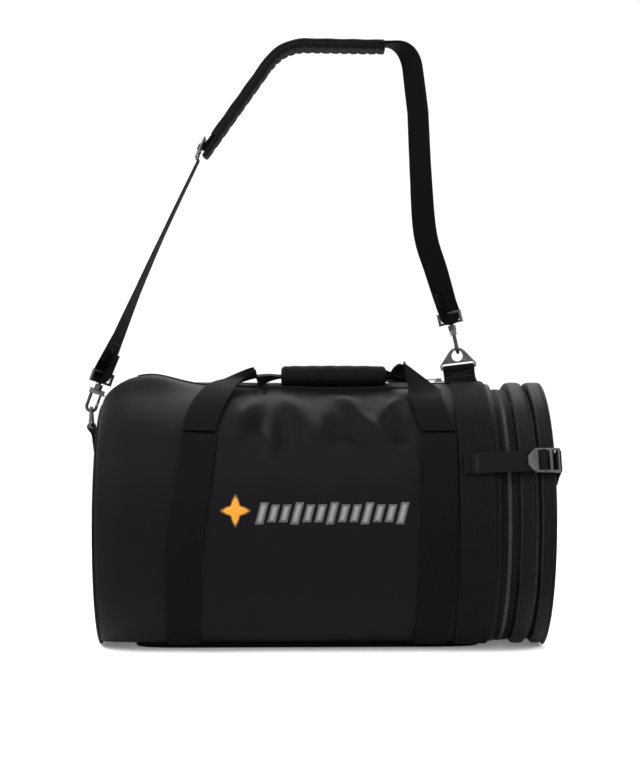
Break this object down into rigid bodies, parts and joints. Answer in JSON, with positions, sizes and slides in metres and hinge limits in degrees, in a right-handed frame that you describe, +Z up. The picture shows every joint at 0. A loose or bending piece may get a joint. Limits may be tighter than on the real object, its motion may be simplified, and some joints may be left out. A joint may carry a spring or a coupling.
{
  "type": "telescope carry case",
  "caption": "Padded cylindrical carry case for a telescope tube, with a zipped top mouth, an expanding end, carry handles and a clip-on shoulder strap.",
  "frame": {"origin": "centre of the flat base, on the surface that the case stands on", "axes": "+X along the case towards its expanding end, +Y to the back, +Z up"},
  "size_m": [0.721, 0.418, 0.9436],
  "materials": {
    "shell_fabric": "matte",
    "foam": "matte",
    "lining_fabric": "satin",
    "piping": "satin",
    "base_fabric": "matte",
    "gusset_fabric": "matte",
    "webbing": "matte",
    "zip_tape": "matte",
    "zip_metal": "satin",
    "buckle_plastic": "satin",
    "hook_metal": "gloss",
    "grip_fabric": "matte",
    "pad_fabric": "matte"
  },
  "bodies": {
    "case": {"case_skin": "shell_fabric", "case_foam": "foam", "case_lining": "lining_fabric", "left_end_skin": "shell_fabric", "left_end_foam": "foam", "left_end_lining": "lining_fabric", "case_pipings": "piping", "base_panel": "base_fabric", "handle_bands": "webbing", "anchor_band": "webbing", "right_tab": "webbing", "left_tab": "webbing", "left_ring": "hook_metal", "zip_end_patches": "zip_tape", "zip_one_case_half": "zip_tape", "gusset_one": "gusset_fabric", "compression_straps": "webbing"},
    "front_flap": {"front_flap_skin": "shell_fabric", "front_flap_foam": "foam", "front_flap_lining": "lining_fabric", "front_zip_half": "zip_tape"},
    "back_flap": {"back_flap_skin": "shell_fabric", "back_flap_foam": "foam", "back_flap_lining": "lining_fabric", "back_zip_half": "zip_tape"},
    "front_handle": {"front_handle_web": "webbing", "grip_pad": "grip_fabric"},
    "grip_cover": {"grip_flap": "grip_fabric"},
    "back_handle": {"back_handle_web": "webbing"},
    "main_zip": {"main_zip_slider": "zip_metal"},
    "main_pull": {"main_zip_puller": "zip_metal"},
    "zip_one": {"zip_one_slider": "zip_metal"},
    "zip_one_pull": {"zip_one_puller": "zip_metal"},
    "middle_ring": {"middle_ring_skin": "shell_fabric", "middle_ring_foam": "foam", "zip_one_middle_half": "zip_tape", "zip_two_middle_half": "zip_tape", "gusset_two": "gusset_fabric"},
    "zip_two": {"zip_two_slider": "zip_metal"},
    "zip_two_pull": {"zip_two_puller": "zip_metal"},
    "end_cap": {"end_ring_skin": "shell_fabric", "end_panel_skin": "shell_fabric", "end_panel_foam": "foam", "end_panel_lining": "lining_fabric", "end_piping": "piping", "zip_two_end_half": "zip_tape", "buckle_anchors": "webbing"},
    "front_lock": {"front_buckle": "buckle_plastic"},
    "back_lock": {"back_buckle": "buckle_plastic"},
    "strap": {"strap_single_web": "webbing", "strap_double_web": "webbing", "shoulder_pad": "pad_fabric", "right_loop": "hook_metal", "left_loop": "hook_metal", "right_ring": "hook_metal"},
    "adjuster": {"strap_adjuster": "buckle_plastic"},
    "right_snap": {"right_hook": "hook_metal"},
    "left_snap": {"left_hook": "hook_metal"},
    "right_latch": {"right_gate": "hook_metal"},
    "left_latch": {"left_gate": "hook_metal"}
  },
  "joints": [
    {"name": "front_flap_fold", "type": "hinge", "parent": "case", "child": "front_flap", "pos_m": [-0.056, -0.15781, 0.33041], "axis": [1, 0, 0], "range_deg": [0, 110]},
    {"name": "back_flap_fold", "type": "hinge", "parent": "case", "child": "back_flap", "pos_m": [-0.056, 0.15781, 0.33041], "axis": [-1, 0, 0], "range_deg": [0, 110]},
    {"name": "front_handle_fold", "type": "hinge", "parent": "front_flap", "child": "front_handle", "pos_m": [-0.015, -0.1545, 0.33711], "axis": [1, 0, 0], "range_deg": [0, 60]},
    {"name": "back_handle_fold", "type": "hinge", "parent": "back_flap", "child": "back_handle", "pos_m": [-0.015, 0.1545, 0.33711], "axis": [-1, 0, 0], "range_deg": [0, 60]},
    {"name": "grip_cover_fold", "type": "hinge", "parent": "front_handle", "child": "grip_cover", "pos_m": [0.02, -0.02404, 0.42836], "axis": [-1, 0, 0], "range_deg": [0, 100]},
    {"name": "main_zip_travel", "type": "slide", "parent": "case", "child": "main_zip", "axis": [-1, 0, 0], "range_m": [0, 0.484]},
    {"name": "main_pull_swing", "type": "hinge", "parent": "main_zip", "child": "main_pull", "pos_m": [0.187, 0, 0.4096], "axis": [0, 1, 0], "range_deg": [0, 75]},
    {"name": "first_expansion", "type": "slide", "parent": "case", "child": "middle_ring", "axis": [1, 0, 0], "range_m": [0, 0.075], "deforming": ["gusset_one", "compression_straps"]},
    {"name": "second_expansion", "type": "slide", "parent": "middle_ring", "child": "end_cap", "axis": [1, 0, 0], "range_m": [0, 0.055], "deforming": ["gusset_two"]},
    {"name": "zip_one_travel", "type": "hinge", "parent": "case", "child": "zip_one", "pos_m": [0.2755, 0, 0.198], "axis": [1, 0, 0], "range_deg": [0, 250]},
    {"name": "zip_two_travel", "type": "hinge", "parent": "middle_ring", "child": "zip_two", "pos_m": [0.316, 0, 0.198], "axis": [1, 0, 0], "range_deg": [0, 250]},
    {"name": "zip_one_pull_swing", "type": "hinge", "parent": "zip_one", "child": "zip_one_pull", "pos_m": [0.2755, 0.14255, 0.05545], "axis": [-1, 0, 0], "range_deg": [0, 80]},
    {"name": "zip_two_pull_swing", "type": "hinge", "parent": "zip_two", "child": "zip_two_pull", "pos_m": [0.316, 0.14114, 0.05686], "axis": [-1, 0, 0], "range_deg": [0, 80]},
    {"name": "front_lock_tilt", "type": "hinge", "parent": "end_cap", "child": "front_lock", "pos_m": [0.3475, -0.19509, 0.29106], "axis": [0, 0.4305, 0.9026], "range_deg": [0, 50]},
    {"name": "back_lock_tilt", "type": "hinge", "parent": "end_cap", "child": "back_lock", "pos_m": [0.3475, 0.19509, 0.29106], "axis": [0, 0.4305, -0.9026], "range_deg": [0, 50]},
    {"name": "strap_swing", "type": "hinge", "parent": "case", "child": "strap", "pos_m": [0.218, 0, 0.429], "axis": [0.993, 0, 0.1181], "range_deg": [-45, 45]},
    {"name": "right_snap_swivel", "type": "hinge", "parent": "strap", "child": "right_snap", "pos_m": [0.21691, 0, 0.45253], "axis": [-0.225, 0, 0.9744], "range_deg": [-20, 20]},
    {"name": "right_latch_open", "type": "hinge", "parent": "right_snap", "child": "right_latch", "pos_m": [0.20971, 0.0075, 0.48371], "axis": [-0.9744, 0, -0.225], "range_deg": [0, 22], "stiffness_Nm_per_rad": 0.02, "springref_deg": -20.05},
    {"name": "left_snap_swivel", "type": "hinge", "parent": "strap", "child": "left_snap", "pos_m": [-0.36057, 0, 0.36095], "axis": [0.342, 0, 0.9397], "range_deg": [-12, 12]},
    {"name": "left_latch_open", "type": "hinge", "parent": "left_snap", "child": "left_latch", "pos_m": [-0.34257, 0, 0.38846], "axis": [0, 1, 0], "range_deg": [0, 22], "stiffness_Nm_per_rad": 0.02, "springref_deg": -20.05},
    {"name": "adjuster_travel", "type": "slide", "parent": "strap", "child": "adjuster", "axis": [-0.4079, 0, -0.913], "range_m": [0, 0.08]}
  ]
}
